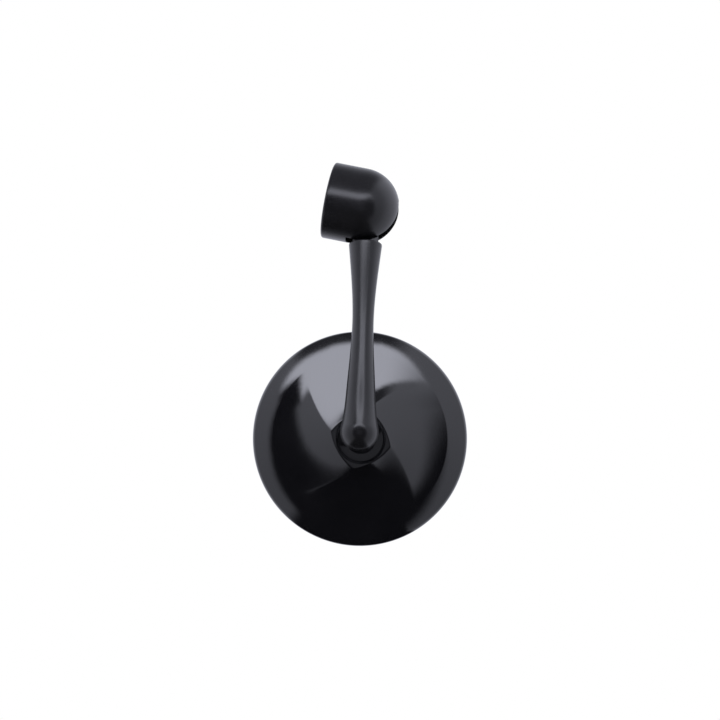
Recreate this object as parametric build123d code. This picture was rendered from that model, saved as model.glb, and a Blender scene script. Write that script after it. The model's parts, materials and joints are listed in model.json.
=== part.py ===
from build123d import *
import os
from math import cos, log, radians, sin, sqrt, tan

# Bar-end motorcycle mirror, in millimetres. X runs along the handlebar, outboard to the dome, and Z is up.
# The head's back faces -Y. The origin is on the bar's axis, at the mouth of the clamp's bore.

# Fits, as radial clearances or gaps between faces
THREAD_CLEAR = 0.04
PRESS_CLEAR = 0.02
RUN_CLEAR = 0.05
BOND_GAP = 0.03

# Clamp: a cup over the bar's end, closed by a dome
BAR_D = 22.2
BAR_CLEAR = 0.1
CLAMP_R = 16.0
CLAMP_STRAIGHT = 14.0
MOUTH_ROUND = 0.9
BORE_DEPTH = 9.4
BORE_FLOOR = 1.4

# Screws that fix the clamp on the bar, on the far side
GRUB_R = 2.0
GRUB_FROM_MOUTH = 4.7
GRUB_SPREAD = 35.0
GRUB_SINK = 0.7
GRUB_TIP_GAP = 0.05
GRUB_KEY = 2.0
GRUB_KEY_DEPTH = 2.0

# Slot and pivot: the slot leans towards the viewer, and the tongue swings in it
SLOT_LEAN = 13.0
TONGUE_R = 5.3
TONGUE_T = 4.4
SLOT_END_CLEAR = 0.3
WASHER_T = 0.5
WASHER_RING = 2.2
WASHER_CLEAR = 0.1
PIVOT_R = 2.5
BUSH_WALL = 1.1
FAR_CHEEK = 6.6
NEAR_THREAD = 7.0
DRILL_SPARE = 0.4
PIVOT_HEAD_R = 4.2
PIVOT_HEAD_H = 2.6
PIVOT_KEY = 3.0
PIVOT_KEY_DEPTH = 1.6
HEAD_RECESS_CLEAR = 0.3
CONE_T = 0.5
CONE_RISE = 0.4

# Arm: a turned spindle, waisted between the shoulder and the bulb
ARM_SWING = 10.5
ARM_L = 96.5
SHOULDER_CLEAR = 0.4
SHOULDER_R = 6.9
SHOULDER_ROUND = 1.5
SHOULDER_TAPER = 6.0
WAIST_S = 50.0
WAIST_R = 4.4
FLARE_S = 77.0
FLARE_R = 5.75
BULB_R = 7.8
BULB_BLEND = 12.0

# Ball stud
STUD_L = 20.5
STUD_CANT = 5.0
STUD_SPOT_R = 4.0
STUD_SHANK_R = 2.5
STUD_THREAD = 8.0
STUD_HEX = 7.0
STUD_HEX_T = 1.8
NECK_R = 2.3
BALL_R = 5.0

# Ball socket: two seats, a spring and a plate that holds them in
SEAT_WALL = 1.65
SEAT_OPEN = 47.0
SEAT_EDGE = 80.0
SEAT_SPLIT = 1.3
SEAT_BASE = 1.9
SEAT_HOLE_R = 1.5
SPRING_T = 0.5
SPRING_RISE = 0.75
SPRING_RING = 3.2
COLUMN_WALL = 2.0
LUG_R = 2.6
LUG_OFFSET = 1.4
RETAINER_T = 1.4
RETAINER_HOLE_R = 2.0
SMALL_SCREW_R = 1.1
SMALL_SCREW_L = 6.0
SMALL_HEAD_R = 2.1
SMALL_HEAD_H = 1.1

# Head at rest: its axis leaves the ball towards the viewer
HEAD_YAW = 5.0
HEAD_ROLL = 11.8
SOCKET_OPEN = 46.0
LIP_T = 1.2
WELL_DEPTH = 1.2
HUB_LAND = 0.6

# Swirl on the shell's back: each level is a square of four arcs, turned less the further out it lies.
# The ridges at the squares' corners cross every radius at one angle, and fade where the square becomes a circle.
SHELL_R = 45.0
HUB_CORNER_R = 12.6
FADE_INSET = 8.6
SWIRL_TURN = 166.5
SWIRL_RATE = 36.2
SWIRL_SQUARE = 0.16
SWIRL_SHARES = (0, 0.13, 0.33, 0.55, 0.78, 1)
HUB_SLOPE = 25.0
FADE_SLOPE = 17.9
KNEE_SLOPE = 21.2
KNEE_INSET = 1.4
SHELL_WALL = 2.4
RIM_WALL = 1.6
LEDGE_W = 2.4

# Glass and what carries it
GLASS_CURVE = 1000.0
GLASS_T = 2.0
PAD_T = 0.8
PAD_INSET = 3.0
PLATE_T = 1.6
PLATE_HEADROOM = 0.4
POST_R = 2.6
POST_INSET = 5.0
GASKET_W = 0.9
GASKET_LIP = 0.8
GASKET_LIP_T = 0.5
FRONT_LIP = 0.3

bore_r = BAR_D / 2 + BAR_CLEAR
pivot_x = BORE_DEPTH + BORE_FLOOR + SLOT_END_CLEAR + TONGUE_R
slot_half = TONGUE_T / 2 + WASHER_CLEAR + WASHER_T
slot_r = TONGUE_R + SLOT_END_CLEAR
shoulder_s = CLAMP_R + SHOULDER_CLEAR
bush_in = PIVOT_R + RUN_CLEAR
bush_out = bush_in + BUSH_WALL
pivot_seat = slot_half + FAR_CHEEK
pivot_head = pivot_seat + CONE_T + CONE_RISE
spot_s = STUD_L - sqrt(BULB_R**2 - STUD_SPOT_R**2)
seat_in = BALL_R + RUN_CLEAR
seat_out = seat_in + SEAT_WALL
socket_r = seat_out + RUN_CLEAR
well_floor = socket_r * cos(radians(SOCKET_OPEN)) + LIP_T
hub_w = well_floor + WELL_DEPTH
well_r = HUB_CORNER_R * (1 - SWIRL_SQUARE) - HUB_LAND
fade_r = SHELL_R - FADE_INSET
knee_r = SHELL_R - KNEE_INSET
swirl_run = fade_r - HUB_CORNER_R
seat_bottom = -(seat_in + SEAT_BASE)
retainer_top = seat_bottom - RUN_CLEAR - SPRING_T - SPRING_RISE
retainer_bottom = retainer_top - RETAINER_T
column_r = socket_r + COLUMN_WALL
lug_circle = column_r + LUG_OFFSET
ledge_w = retainer_bottom - PLATE_HEADROOM
ledge_r = SHELL_R - RIM_WALL
cavity_r = ledge_r - LEDGE_W
plate_r = ledge_r - RUN_CLEAR
glass_r = plate_r - GASKET_W
post_circle = cavity_r - POST_INSET
plate_curve = GLASS_CURVE - GLASS_T - PAD_T - 2 * BOND_GAP
curve_centre = ledge_w - PLATE_T + sqrt(plate_curve**2 - plate_r**2)

# Directions at rest, all of length one
lean = radians(SLOT_LEAN)
swing = radians(ARM_SWING)
yaw = radians(HEAD_YAW)
roll = radians(HEAD_ROLL)
pivot_axis = Vector(0, cos(lean), -sin(lean))
slot_down = Vector(0, -sin(lean), -cos(lean))
arm_axis = Vector(1, 0, 0) * sin(swing) + slot_down * cos(swing)
stud_axis = pivot_axis * cos(radians(STUD_CANT)) - arm_axis * sin(radians(STUD_CANT))
head_axis = Vector(sin(yaw), -cos(yaw), 0)
head_right = Vector(cos(yaw) * cos(roll), sin(yaw) * cos(roll), sin(roll))

# Frames in which the pieces are drawn
pivot_point = Vector(pivot_x, 0, 0)
bulb_point = pivot_point + arm_axis * ARM_L
ball_point = bulb_point + stud_axis * STUD_L
pivot_frame = Plane(pivot_point, x_dir=(1, 0, 0), z_dir=pivot_axis).location
arm_frame = Plane(pivot_point, x_dir=pivot_axis, z_dir=arm_axis).location
stud_frame = Plane(ball_point, x_dir=arm_axis, z_dir=stud_axis * -1).location
head_frame = Plane(ball_point, x_dir=head_right, z_dir=head_axis).location


def polar(radius, angle):
    """A point of the XY plane at a radius and an angle in degrees."""
    return Vector(radius * cos(radians(angle)), radius * sin(radians(angle)))


def turned(*edges):
    """A solid of revolution about Z from a closed outline in the XZ plane, drawn as (radius, height)."""
    face = make_face(Plane.XZ * Wire(edges))
    return revolve(face, Axis.Z)


def rod(radius, low, high):
    """A cylinder on Z between two heights."""
    return Pos(0, 0, low) * Cylinder(radius, high - low, align=(Align.CENTER, Align.CENTER, Align.MIN))


def ring(inner, outer, low, high):
    """A plain ring on Z between two heights."""
    return rod(outer, low, high) - rod(inner, low, high)


def hexagon(across, low, high):
    """A hexagon prism on Z between two heights, sized across its flats."""
    return extrude(Pos(0, 0, low) * RegularPolygon(across / 2, 6, major_radius=False), high - low)


def cone_washer(inner, outer, base, thickness, rise):
    """A conical washer on Z, flat rim at the base and raised towards its hole."""
    corners = ((outer, base), (outer, base + thickness), (inner, base + thickness + rise), (inner, base + rise))
    return turned(*Polyline(*corners, close=True).edges())


def countersunk_screw(face, length):
    """A small screw on Z with its flat head at a height, pointing up."""
    head = Pos(0, 0, face + SMALL_HEAD_H / 2) * Cone(SMALL_HEAD_R, SMALL_SCREW_R, SMALL_HEAD_H)
    return head + rod(SMALL_SCREW_R, face, face + length)


def countersink(face, length, clear):
    """The hole that takes such a screw."""
    slope = (SMALL_HEAD_R - SMALL_SCREW_R) / SMALL_HEAD_H
    wide = SMALL_HEAD_R + clear
    deep = SMALL_HEAD_H + clear / slope
    head = Pos(0, 0, face + deep / 2) * Cone(wide, wide - slope * deep, deep)
    return head + rod(SMALL_SCREW_R + clear, face, face + length)


def around(count, radius, piece):
    """Copies of a piece on a circle about Z."""
    return [Rot(0, 0, 360 * i / count) * Pos(radius, 0, 0) * piece for i in range(count)]


def grub_frames():
    """The frames of the clamp's screws, Z pointing out of the clamp on its far side."""
    spreads = (radians(GRUB_SPREAD), -radians(GRUB_SPREAD))
    ways = [Vector(0, cos(spread), sin(spread)) for spread in spreads]
    return [Plane((GRUB_FROM_MOUTH, 0, 0), x_dir=(1, 0, 0), z_dir=way).location for way in ways]


def bar_clamp():
    """The cup and dome as one turned form, with the bar's bore, the arm's slot and the screws' holes."""
    end = CLAMP_STRAIGHT + CLAMP_R
    knee = CLAMP_R * cos(radians(45))
    turn = MOUTH_ROUND * (1 - cos(radians(45)))
    outline = (
        Line((0, 0), (CLAMP_R - MOUTH_ROUND, 0)),
        ThreePointArc((CLAMP_R - MOUTH_ROUND, 0), (CLAMP_R - turn, turn), (CLAMP_R, MOUTH_ROUND)),
        Line((CLAMP_R, MOUTH_ROUND), (CLAMP_R, CLAMP_STRAIGHT)),
        ThreePointArc((CLAMP_R, CLAMP_STRAIGHT), (knee, CLAMP_STRAIGHT + knee), (0, end)),
        Line((0, end), (0, 0)),
    )
    along_bar = Plane((0, 0, 0), x_dir=(0, 1, 0), z_dir=(1, 0, 0)).location
    body = along_bar * (turned(*outline) - rod(bore_r, 0, BORE_DEPTH))

    reach = 2 * CLAMP_R
    corner = (Align.MIN, Align.MIN)
    slot = Circle(slot_r) + Pos(0, -slot_r) * Rectangle(reach, reach, align=corner)
    slot = slot + Pos(-slot_r, 0) * Rectangle(reach, reach, align=corner)
    body -= pivot_frame * extrude(slot, slot_half, both=True)

    body -= pivot_frame * rod(PIVOT_R + THREAD_CLEAR, -slot_half - NEAR_THREAD - DRILL_SPARE, pivot_seat)
    body -= pivot_frame * rod(PIVOT_HEAD_R + HEAD_RECESS_CLEAR, pivot_seat, reach)
    for frame in grub_frames():
        body -= frame * rod(GRUB_R + THREAD_CLEAR, bore_r / 2, reach)
    return body


def clamp_grub_screws():
    """Headless screws that bear on the bar."""
    tip = bore_r + GRUB_TIP_GAP
    top = CLAMP_R - GRUB_SINK
    screw = rod(GRUB_R, tip, top) - hexagon(GRUB_KEY, top - GRUB_KEY_DEPTH, top)
    return Compound(children=[frame * screw for frame in grub_frames()])


def pivot_screw():
    """Shoulder screw, its head sunk in the far cheek and its thread blind in the near one."""
    top = pivot_head + PIVOT_HEAD_H
    screw = rod(PIVOT_R, -slot_half - NEAR_THREAD, pivot_head) + rod(PIVOT_HEAD_R, pivot_head, top)
    return pivot_frame * (screw - hexagon(PIVOT_KEY, top - PIVOT_KEY_DEPTH, top))


def pivot_spring_washer():
    """Conical washer between the far cheek and the screw's head."""
    return pivot_frame * cone_washer(bush_in, PIVOT_HEAD_R, pivot_seat, CONE_T, CONE_RISE)


def friction_washers():
    """One thin washer on each wall of the slot."""
    near = ring(bush_in, bush_in + WASHER_RING, -slot_half, WASHER_T - slot_half)
    far = ring(bush_in, bush_in + WASHER_RING, slot_half - WASHER_T, slot_half)
    return Compound(children=[pivot_frame * near, pivot_frame * far])


def pivot_bush():
    """Bush pressed in the tongue, as long as the tongue is thick."""
    return pivot_frame * ring(bush_in, bush_out, -TONGUE_T / 2, TONGUE_T / 2)


def arm():
    """The spindle as one turned form from shoulder to bulb, with the tongue ahead of it."""
    taper = radians(SHOULDER_TAPER)
    blend = radians(BULB_BLEND)
    corner = Vector(SHOULDER_R - SHOULDER_ROUND, shoulder_s + SHOULDER_ROUND)
    shoulder_end = corner + polar(SHOULDER_ROUND, SHOULDER_TAPER)
    bulb_start = Vector(0, ARM_L) + polar(BULB_R, -BULB_BLEND)
    outline = (
        Line((0, shoulder_s), (corner.X, shoulder_s)),
        ThreePointArc((corner.X, shoulder_s), corner + polar(SHOULDER_ROUND, -45), shoulder_end),
        Spline(
            shoulder_end, (WAIST_R, WAIST_S), (FLARE_R, FLARE_S), bulb_start,
            tangents=((-sin(taper), cos(taper)), (sin(blend), cos(blend))),
        ),
        ThreePointArc(bulb_start, Vector(0, ARM_L) + polar(BULB_R, 45), (0, ARM_L + BULB_R)),
        Line((0, ARM_L + BULB_R), (0, shoulder_s)),
    )
    tongue_l = shoulder_s + SHOULDER_ROUND
    tongue = Box(TONGUE_T, 2 * TONGUE_R, tongue_l, align=(Align.CENTER, Align.CENTER, Align.MIN))
    tongue += Rot(0, 90, 0) * Cylinder(TONGUE_R, TONGUE_T)
    body = arm_frame * (turned(*outline) + tongue)
    body -= pivot_frame * rod(bush_out + PRESS_CLEAR, -TONGUE_T, TONGUE_T)
    body -= stud_frame * rod(STUD_SPOT_R, 0, spot_s)
    body -= stud_frame * rod(STUD_SHANK_R + THREAD_CLEAR, 0, spot_s + STUD_THREAD + DRILL_SPARE)
    return body


def ball_stud():
    """Ball, neck, hexagon collar on the bulb's flat and shank in the bulb."""
    collar = hexagon(STUD_HEX, spot_s - STUD_HEX_T, spot_s)
    stud = Sphere(BALL_R) + rod(NECK_R, 0, spot_s) + collar + rod(STUD_SHANK_R, spot_s, spot_s + STUD_THREAD)
    return stud_frame * stud


def front_ball_seat():
    """Seat behind the socket's lip: a band of a hollow sphere."""
    half = (SEAT_OPEN + SEAT_EDGE) / 2
    inner = [polar(seat_in, 90 - angle) for angle in (SEAT_OPEN, half, SEAT_EDGE)]
    outer = [polar(seat_out, 90 - angle) for angle in (SEAT_EDGE, half, SEAT_OPEN)]
    outline = (
        ThreePointArc(*inner),
        Line(inner[-1], outer[0]),
        ThreePointArc(*outer),
        Line(outer[-1], inner[0]),
    )
    return head_frame * turned(*outline)


def rear_ball_seat():
    """Cup that the spring presses on the ball."""
    cup = rod(seat_out, seat_bottom, -SEAT_SPLIT) - Sphere(seat_in)
    return head_frame * (cup - rod(SEAT_HOLE_R, seat_bottom, 0))


def seat_spring():
    """Conical spring between the retainer plate and the rear seat."""
    outer = socket_r - PRESS_CLEAR
    return head_frame * cone_washer(outer - SPRING_RING, outer, retainer_top, SPRING_T, SPRING_RISE)


def retainer_plate():
    """Plate over the socket's end, with a countersunk hole at each lug."""
    plate = ring(RETAINER_HOLE_R, lug_circle + LUG_R, retainer_bottom, retainer_top)
    for hole in around(3, lug_circle, countersink(retainer_bottom, SMALL_SCREW_L, THREAD_CLEAR)):
        plate -= hole
    return head_frame * plate


def retainer_screws():
    """Screws that hold the retainer plate on the lugs."""
    screw = countersunk_screw(retainer_bottom, SMALL_SCREW_L)
    return Compound(children=[head_frame * copy for copy in around(3, lug_circle, screw)])


def swirl_drop(share):
    """Drop below the hub's edge at a share of the run from hub to fade, on a slope that changes evenly."""
    first = tan(radians(HUB_SLOPE))
    last = tan(radians(FADE_SLOPE))
    return swirl_run * share * (first + (last - first) * share / 2)


def swirl_radii(share):
    """Radius of a level at its corners, and halfway along its sides."""
    corner_radius = HUB_CORNER_R + swirl_run * share
    squareness = SWIRL_SQUARE * log(fade_r / corner_radius) / log(fade_r / HUB_CORNER_R)
    return corner_radius, corner_radius * (1 - squareness)


def swirl_level(share):
    """One level of the swirl: four arcs from corner to corner."""
    corner_radius, side_radius = swirl_radii(share)
    turn = SWIRL_TURN - SWIRL_RATE * log(corner_radius / HUB_CORNER_R)
    corners = [polar(corner_radius, turn + 90 * i) for i in range(5)]
    sides = [polar(side_radius, turn + 45 + 90 * i) for i in range(4)]
    arcs = [ThreePointArc(corners[i], sides[i], corners[i + 1]) for i in range(4)]
    return Pos(0, 0, hub_w - swirl_drop(share)) * make_face(Wire(arcs))


def shell_form():
    """The shell's outside: the swirl as a loft, on a turned rim of flank, roll and wall."""
    swirl = loft([swirl_level(share) for share in SWIRL_SHARES])

    flank_r = (knee_r - fade_r) / (sin(radians(KNEE_SLOPE)) - sin(radians(FADE_SLOPE)))
    fade = Vector(fade_r, hub_w - swirl_drop(1))
    flank_centre = fade - polar(flank_r, 90 - FADE_SLOPE)
    flank_middle = flank_centre + polar(flank_r, 90 - (FADE_SLOPE + KNEE_SLOPE) / 2)
    knee = flank_centre + polar(flank_r, 90 - KNEE_SLOPE)
    roll_r = KNEE_INSET / (1 - sin(radians(KNEE_SLOPE)))
    roll_centre = knee - polar(roll_r, 90 - KNEE_SLOPE)
    roll_middle = roll_centre + polar(roll_r, (90 - KNEE_SLOPE) / 2)
    outline = (
        Line((0, fade.Y), fade),
        ThreePointArc(fade, flank_middle, knee),
        ThreePointArc(knee, roll_middle, (SHELL_R, roll_centre.Y)),
        Line((SHELL_R, roll_centre.Y), (SHELL_R, front_w)),
        Line((SHELL_R, front_w), (0, front_w)),
        Line((0, front_w), (0, fade.Y)),
    )
    return swirl + turned(*outline)


def shell_cavity():
    """The hollow inside the shell, with the socket's column, its lugs and the plate's posts left standing."""
    roof = [(swirl_radii(share)[1], hub_w - swirl_drop(share) - SHELL_WALL) for share in SWIRL_SHARES[1:]]
    last_r, last_w = roof[-1]
    roof_end = last_w - (cavity_r - last_r) * tan(radians(KNEE_SLOPE))
    corners = [(0, ledge_w), (0, roof[0][1]), *roof, (cavity_r, roof_end), (cavity_r, ledge_w)]
    hollow = turned(*Polyline(*corners, close=True).edges())
    hollow -= rod(column_r, retainer_top, hub_w)
    for lug in around(3, lug_circle, rod(LUG_R, retainer_top, hub_w)):
        hollow -= lug
    for post in around(3, post_circle, rod(POST_R, ledge_w, hub_w)):
        hollow -= post
    return hollow


def mirror_shell():
    """Die-cast shell with the swirl outside and the ball's socket, lugs, posts and ledge inside."""
    shell = shell_form() - shell_cavity() - rod(ledge_r, front_w, ledge_w)
    shell -= Sphere(socket_r) + rod(socket_r, retainer_top, 0)
    opening = hub_w * tan(radians(SOCKET_OPEN))
    shell -= Pos(0, 0, hub_w / 2) * Cone(RUN_CLEAR, opening, hub_w)
    shell -= rod(well_r, well_floor, hub_w)
    for hole in around(3, lug_circle, rod(SMALL_SCREW_R + THREAD_CLEAR, retainer_top, screw_hole_top)):
        shell -= hole
    for hole in around(3, post_circle, rod(SMALL_SCREW_R + THREAD_CLEAR, ledge_w, post_hole_top)):
        shell -= hole
    return head_frame * shell


def curved(radius, curve):
    """Height of the glass's family of concentric spheres at a radius."""
    return curve_centre - sqrt(curve**2 - radius**2)


def curve_arc(radius, curve, outward=True):
    """Half section of such a sphere, between the axis and a radius."""
    points = [(r, curved(r, curve)) for r in (0, radius / 2, radius)]
    if not outward:
        points.reverse()
    return ThreePointArc(*points)


def bent_disc(radius, back, front):
    """A disc bent to the glass's curve, between two of its spheres."""
    return turned(
        curve_arc(radius, back),
        Line((radius, curved(radius, back)), (radius, curved(radius, front))),
        curve_arc(radius, front, outward=False),
        Line((0, curved(0, front)), (0, curved(0, back))),
    )


def backing_plate():
    """Moulded plate on the shell's ledge and posts, crowned to the glass's curve."""
    plate = turned(
        Line((0, ledge_w), (plate_r, ledge_w)),
        Line((plate_r, ledge_w), (plate_r, curved(plate_r, plate_curve))),
        curve_arc(plate_r, plate_curve, outward=False),
        Line((0, curved(0, plate_curve)), (0, ledge_w)),
    )
    hole = rod(SMALL_HEAD_R + THREAD_CLEAR, plate_head - PLATE_T, plate_head)
    hole += countersink(plate_head, SMALL_SCREW_L, THREAD_CLEAR)
    for copy in around(3, post_circle, hole):
        plate -= copy
    return head_frame * plate


def backing_screws():
    """Screws that hold the backing plate on the posts, sunk below its front."""
    screw = countersunk_screw(plate_head, SMALL_SCREW_L)
    return Compound(children=[head_frame * copy for copy in around(3, post_circle, screw)])


def adhesive_pad():
    """Foam pad that bonds the glass to the plate."""
    back = plate_curve + BOND_GAP
    return head_frame * bent_disc(glass_r - PAD_INSET, back, back + PAD_T)


def mirror_glass():
    """Convex glass, bent from sheet."""
    return head_frame * bent_disc(glass_r, GLASS_CURVE - GLASS_T, GLASS_CURVE)


def glass_gasket():
    """Rubber ring round the glass's edge, with a lip over its front."""
    inside = glass_r + RUN_CLEAR
    band = ring(inside, plate_r, lip_w, curved(inside, plate_curve) - BOND_GAP)
    lip = ring(glass_r - GASKET_LIP, plate_r, lip_w - GASKET_LIP_T, lip_w)
    return head_frame * (band + lip)


plate_head = ledge_w - SMALL_HEAD_H
screw_hole_top = retainer_bottom + SMALL_SCREW_L + DRILL_SPARE
post_hole_top = plate_head + SMALL_SCREW_L + DRILL_SPARE
lip_w = curved(glass_r - GASKET_LIP, GLASS_CURVE) - BOND_GAP
front_w = lip_w - GASKET_LIP_T - FRONT_LIP

PIECES = (
    bar_clamp, clamp_grub_screws, pivot_screw, pivot_spring_washer, friction_washers,
    arm, pivot_bush, ball_stud, front_ball_seat, rear_ball_seat,
    mirror_shell, seat_spring, retainer_plate, retainer_screws,
    backing_plate, backing_screws, adhesive_pad, mirror_glass, glass_gasket,
)

os.makedirs("parts", exist_ok=True)
for piece in PIECES:
    export_step(piece(), f"parts/{piece.__name__}.step")
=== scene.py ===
"""Looks of a bar-end motorcycle mirror: gloss-black swirl shell, satin-black arm and clamp, convex glass."""
import json

import bmesh
import bpy
import numpy as np
from mathutils import Matrix, Vector


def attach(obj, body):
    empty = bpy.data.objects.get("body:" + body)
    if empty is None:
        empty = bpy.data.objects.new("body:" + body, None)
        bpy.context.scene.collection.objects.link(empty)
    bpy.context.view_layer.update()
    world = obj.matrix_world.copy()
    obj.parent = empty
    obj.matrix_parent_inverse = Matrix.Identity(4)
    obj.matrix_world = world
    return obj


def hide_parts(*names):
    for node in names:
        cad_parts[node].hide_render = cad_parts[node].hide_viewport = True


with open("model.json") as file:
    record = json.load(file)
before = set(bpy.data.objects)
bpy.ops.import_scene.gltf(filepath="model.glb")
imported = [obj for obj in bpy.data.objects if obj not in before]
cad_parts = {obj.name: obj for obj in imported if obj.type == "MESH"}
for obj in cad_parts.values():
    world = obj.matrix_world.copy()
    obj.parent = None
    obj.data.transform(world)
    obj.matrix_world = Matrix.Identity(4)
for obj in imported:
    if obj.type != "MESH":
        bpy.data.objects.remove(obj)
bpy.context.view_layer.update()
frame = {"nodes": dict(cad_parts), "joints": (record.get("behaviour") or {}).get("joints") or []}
scene = bpy.context.scene

MM = 0.001

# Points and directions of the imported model, in metres
joints = {joint["name"]: joint for joint in frame["joints"]}
UP = np.array((0.0, 0.0, 1.0))
BAR = np.array((1.0, 0.0, 0.0))
pivot = np.array(joints["arm_swing"]["pos_m"], float)
pivot_axis = -np.array(joints["arm_swing"]["axis"], float)
ball = np.array(joints["head_spin"]["pos_m"], float)
head_axis = np.array(joints["head_spin"]["axis"], float)
slot_down = np.cross(pivot_axis, BAR)

# How far the arm leans out of the slot's own direction, and how the head is rolled about its axis
ARM_LEAN = np.radians(10.5)
HEAD_ROLL = np.radians(11.8)
arm_axis = BAR * np.sin(ARM_LEAN) + slot_down * np.cos(ARM_LEAN)
head_right = np.cross(UP, head_axis) * np.cos(HEAD_ROLL) + UP * np.sin(HEAD_ROLL)
head_up = np.cross(head_axis, head_right)

# Clamp, in millimetres along the bar from the bore's mouth
CLAMP_R = 16.0
CLAMP_STRAIGHT = 14.0
MOUTH_ROUND = 0.9
BORE_R = 11.2
BORE_DEPTH = 9.4
BORE_CHAMFER = 0.5
SLOT_R = 5.6
SLOT_HALF = 2.8

# Pivot screw, in millimetres along the pivot's axis, and the screws that fix the clamp
PIVOT_R = 2.5
PIVOT_HOLE_R = 2.54
PIVOT_END = -9.8
PIVOT_BLIND = -10.2
PIVOT_SEAT = 9.4
PIVOT_HEAD = 10.3
PIVOT_HEAD_R = 4.2
PIVOT_HEAD_H = 2.6
PIVOT_KEY = 3.0
PIVOT_KEY_DEPTH = 1.6
RECESS_R = 4.5
GRUB_R = 2.0
GRUB_HOLE_R = 2.04
GRUB_FROM_MOUTH = 4.7
GRUB_SPREAD = np.radians(35.0)
GRUB_TIP = 11.25
GRUB_TOP = 15.3
GRUB_KEY = 2.0
GRUB_KEY_DEPTH = 2.0
SCREW_CHAMFER = 0.35

# Key holes: a lead-in at the top, and at the bottom a cone whose height is a share of the hole's width
KEY_LEAD = SCREW_CHAMFER / 3
KEY_LEAD_DEPTH = SCREW_CHAMFER / 2
KEY_TIP = 0.2

# Arm, in millimetres along its axis from the pivot: waist and flare are a place and a radius
SHOULDER_S = 16.4
SHOULDER_R = 6.9
SHOULDER_ROUND = 0.6
SHOULDER_TAPER = np.radians(6.0)
WAIST = (50.0, 4.4)
FLARE = (77.0, 5.75)
ARM_L = 96.5
BULB_R = 7.8
BULB_BLEND = np.radians(12.0)
TONGUE_R = 5.3
TONGUE_HALF = 2.2
TONGUE_EDGE = 0.2
BUSH_R = 3.67

# Ball stud, in millimetres from the ball's centre towards the arm's bulb
STUD_L = 20.5
STUD_SPOT_R = 4.0
BALL_R = 5.0
NECK_R = 2.3
NECK_FILLET = 1.0
COLLAR_ACROSS = 7.0
COLLAR_T = 1.8
COLLAR_CHAMFER = np.radians(30.0)
SHANK_R = 2.5
SHANK_HOLE_R = 2.54
SHANK_L = 8.0
SHANK_SPARE = 0.4

# Shell, in millimetres from the ball's centre along the head's axis
SHELL_R = 45.0
SOCKET_R = 6.75
SOCKET_OPEN = np.radians(46.0)
LIP_T = 1.2
LIP_CHAMFER = 0.3
LIP_SPREAD = 0.1
WELL_DEPTH = 1.2
WELL_EDGE = 0.3
WELL_FILLET = 0.85
HUB_LAND = 0.6
HUB_BLEND = 0.3
HUB_R = 12.6
FADE_R = 36.4
KNEE_R = 43.6
LEDGE_W = -10.05
FRONT_W = -15.415
LEDGE_R = 43.4
CAVITY_R = 41.0
ROOF_T = 2.4
ROOF_R = 15.12
COLUMN_R = 8.75
COLUMN_W = -8.25

# Swirl: slopes and turns in degrees, with the turn's fall for each e-fold of radius. SQUARE is how far a
# side's middle lies inside the corners' circle at the hub, as a share of its radius.
BLADES = 4
HALF_SIDE = np.pi / BLADES
SWIRL_TURN = 166.5
SWIRL_RATE = 36.2
HUB_SLOPE = 25.0
FADE_SLOPE = 17.9
KNEE_SLOPE = 21.2
SQUARE = 0.16
RIDGE_ROUND = np.radians(1.6)

# Glass and gasket, in the shell's frame: the glass lies between two spheres about one centre
GLASS_FRONT = -15.453
GLASS_CURVE = 1000.0
CURVE_CENTRE = GLASS_FRONT + GLASS_CURVE
GLASS_T = 2.0
GLASS_R = 42.45
GLASS_GRIND = 0.3
GASKET_IN = 42.5
GASKET_OUT = 43.35
GASKET_LIP_R = 41.65
GASKET_LIP_T = 0.5
GASKET_FRONT = -15.115
GASKET_BACK = -11.717
GASKET_ROUND = 0.15

# Fineness of the grids: points round a ring
ROUND_COLS = 96
FINE_COLS = 160
KEYED_COLS = 72
HOLE_COLS = 48
DRILL_COLS = 32
BLADE_COLS = 80

# Fineness of the sections: points along each arc or stretch
STRAIGHT_POINTS = 20
MOUTH_POINTS = 7
DOME_POINTS = 49
SLOT_POINTS = 25
SHOULDER_POINTS = 10
SPINDLE_POINTS = 72
BULB_POINTS = 40
TONGUE_POINTS = 41
BALL_POINTS = 48
NECK_POINTS = 10
CHAMFER_POINTS = 5
WELL_FILLET_POINTS = 6
WELL_EDGE_POINTS = 8
HUB_POINTS = 10
SWIRL_POINTS = 150
FLANK_POINTS = 24
ROLL_POINTS = 28
RIM_POINTS = 14
CUP_POINTS = 12
UNTURN_POINTS = 20
GLASS_POINTS = 25
GASKET_LIP_POINTS = 12
GASKET_ROUND_POINTS = 6
TENT_POINTS = 361
FLOOR_POINTS = 12

# Points nearer than MERGE are one and edges under SLIVER go, in metres. Edges past SHARP are drawn sharp.
MERGE = 1e-7
SLIVER = 1e-8
SHARP = np.radians(30.0)


class Place:
    """A frame in the model: an origin in metres and three axes, for points written in millimetres."""

    def __init__(self, origin, x, z):
        self.origin = np.asarray(origin, float)
        z = np.asarray(z, float) / np.linalg.norm(z)
        x = np.asarray(x, float) - z * np.dot(x, z)
        x = x / np.linalg.norm(x)
        self.axes = np.stack((x, np.cross(z, x), z))

    def put(self, points):
        """Points of this frame in the model's metres."""
        return self.origin + np.asarray(points, float) @ self.axes * MM

    def take(self, points):
        """Points of the model in this frame's millimetres."""
        return (np.asarray(points, float) - self.origin) @ self.axes.T / MM


CLAMP = Place((0, 0, 0), (0, 1, 0), BAR)
PIVOT = Place(pivot, BAR, pivot_axis)
ARM = Place(pivot, pivot_axis, arm_axis)
TONGUE = Place(pivot, arm_axis, pivot_axis)
HEAD = Place(ball, head_right, head_axis)
STUD = Place(ball, arm_axis, ARM.put((0, 0, ARM_L)) - ball)
GRUBS = [
    Place((GRUB_FROM_MOUTH * MM, 0, 0), BAR, (0, np.cos(side), np.sin(side)))
    for side in (GRUB_SPREAD, -GRUB_SPREAD)
]

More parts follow.
